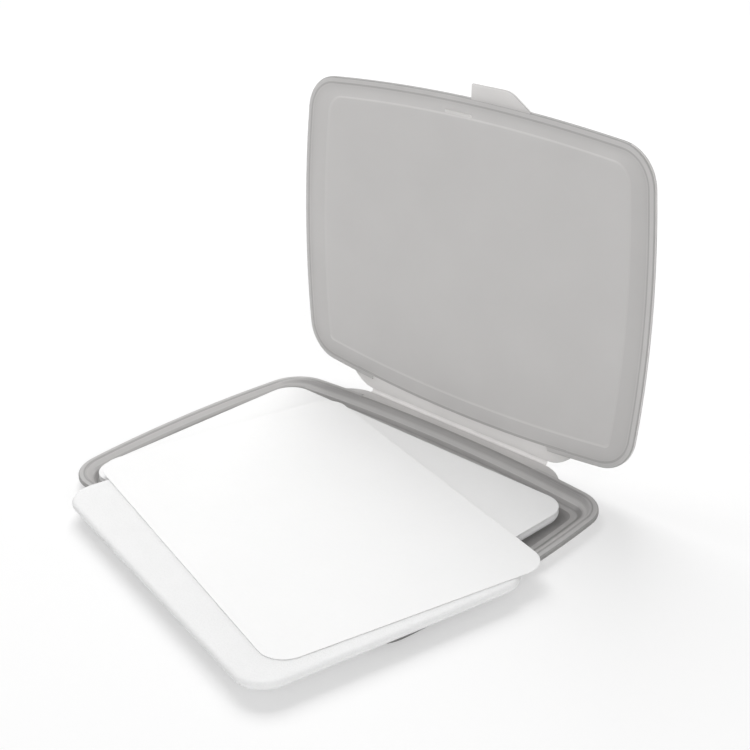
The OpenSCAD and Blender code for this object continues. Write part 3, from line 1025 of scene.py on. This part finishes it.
def sheet_tree():
    tree, given, found = new_tree("soft sheet", (
        ("Width", "NodeSocketFloat"), ("Depth", "NodeSocketFloat"), ("Corner", "NodeSocketFloat"),
        ("Thickness", "NodeSocketFloat"), ("Edge", "NodeSocketFloat"), ("Uneven", "NodeSocketFloat"),
        ("Seed", "NodeSocketFloat"), ("Material", "NodeSocketMaterial"),
    ))
    grid = add(tree, "GeometryNodeMeshGrid", i0=2.0, i1=2.0, i2=GRID_X, i3=GRID_Y).outputs[0]
    unit = add(tree, "GeometryNodeInputPosition").outputs[0]
    half = scale3(tree, joined(tree, given["Width"], given["Depth"], 0.0), 0.5)
    spot, distance = flat_spot(tree, unit, half, given["Corner"])
    x, y, _ = parts_of(tree, spot)
    slow = add(
        tree, "ShaderNodeTexNoise", {"noise_dimensions": "4D"},
        Vector=spot, W=given["Seed"], Scale=UNEVEN_SCALE, Detail=UNEVEN_DETAIL,
    ).outputs[0]
    wave = calc(tree, "MULTIPLY", slow, given["Uneven"])
    half_t = calc(tree, "MULTIPLY", given["Thickness"], 0.5)
    body = calc(tree, "MULTIPLY", half_t, edge_curve(tree, distance, given["Edge"]))
    middle = calc(tree, "ADD", wave, half_t)
    sides = add(tree, "GeometryNodeJoinGeometry")
    for how in ("ADD", "SUBTRACT"):
        z = calc(tree, how, middle, body)
        side = add(tree, "GeometryNodeSetPosition", Geometry=grid, Position=joined(tree, x, y, z)).outputs[0]
        if how == "SUBTRACT":
            side = add(tree, "GeometryNodeFlipFaces", Mesh=side).outputs[0]
        tree.links.new(side, sides.inputs[0])
    closed = add(tree, "GeometryNodeMergeByDistance", Geometry=sides.outputs[0], Distance=SHEET_WELD * MM)
    end_tree(tree, closed.outputs[0], given["Material"])
    return tree, found


sheet_rules, sheet_inputs = sheet_tree()
print("soft sheet tree with", len(sheet_rules.nodes), "nodes")

# %% [markdown]
# Now the four sheets are laid down. One pad lies in the tray with its paper on it. The other pad has been
# pulled out over the front rim and turned a little, and its paper is pushed back on it, so that a band
# of bare foam shows along the front. Each piece is made flat at the origin, then turned and moved. A
# place is given as its x, y and z, and its turn in degrees.

# %% Foam pads
PAD_R, PAD_T, PAD_EDGE = 13.0, 3.6, 2.0
LOWER_W, LOWER_D, LOWER_UNEVEN = 172.49, 117.62, 0.05
UPPER_W, UPPER_D, UPPER_UNEVEN = 164.5, 119.4, 0.06
FLOOR_Z = FOOT_H + WALL
LOWER = (-2.6, -2.6, FLOOR_Z, 0.0)
UPPER = (18.5, -40.8, 5.85, -11.25)
PAD_SIZES = {"Corner": PAD_R * MM, "Thickness": PAD_T * MM, "Edge": PAD_EDGE * MM, "Material": fine_foam}
LOWER_SIZES = {"Width": LOWER_W * MM, "Depth": LOWER_D * MM, "Uneven": LOWER_UNEVEN * MM, "Seed": 1.0}
UPPER_SIZES = {"Width": UPPER_W * MM, "Depth": UPPER_D * MM, "Uneven": UPPER_UNEVEN * MM, "Seed": 2.0}


def lay_down(name, sizes, place):
    piece = grow(name, sheet_rules, sheet_inputs, sizes)
    x, y, z, turn = place
    turned = Matrix.Rotation(math.radians(turn), 4, "Z")
    piece.data.transform(Matrix.Translation(Vector((x, y, z)) * MM) @ turned)
    tidy(piece)
    piece.data.shade_smooth()
    print(name, "from", *(corner.round(1) for corner in extent(piece)), "mm")
    return piece


lower_foam = lay_down("lower_foam", {**PAD_SIZES, **LOWER_SIZES}, LOWER)
upper_foam = lay_down("upper_foam", {**PAD_SIZES, **UPPER_SIZES}, UPPER)
for foam, node, body in ((lower_foam, "lower_pad", "tray"), (upper_foam, "upper_pad", "upper_pad")):
    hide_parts(node)
    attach(foam, body)

# %% [markdown]
# Palette paper is a smooth sheet that lets water through slowly, cut a little smaller than the pad. Both
# sheets are the same size. At 0.2 mm they are drawn thinner than their solids, because a thick edge would
# show as a grey line, and each lies just above its foam.

# %% Palette papers
PAPER_INSET, PAPER_T, PAPER_R, PAPER_EDGE = 0.6, 0.2, 11.0, 0.12
PAPER_W, PAPER_D = LOWER_W - 2 * PAPER_INSET, LOWER_D - 2 * PAPER_INSET
PAPER_UNEVEN, LAY_GAP = 0.05, 0.1
LOWER_PAPER = (-2.6, -2.6, FLOOR_Z + PAD_T + LAY_GAP, 0.0)
UPPER_PAPER = (13.15, -24.1, 9.52, -14.1)
PAPER_SIZES = {
    "Width": PAPER_W * MM, "Depth": PAPER_D * MM, "Corner": PAPER_R * MM, "Thickness": PAPER_T * MM,
    "Edge": PAPER_EDGE * MM, "Uneven": PAPER_UNEVEN * MM, "Material": palette_sheet,
}

lower_sheet = lay_down("lower_sheet", {**PAPER_SIZES, "Seed": 3.0}, LOWER_PAPER)
upper_sheet = lay_down("upper_sheet", {**PAPER_SIZES, "Seed": 4.0}, UPPER_PAPER)
for sheet, node, body, below in (
    (lower_sheet, "lower_paper", "tray", lower_foam),
    (upper_sheet, "upper_paper", "upper_paper", upper_foam),
):
    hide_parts(node)
    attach(sheet, body)
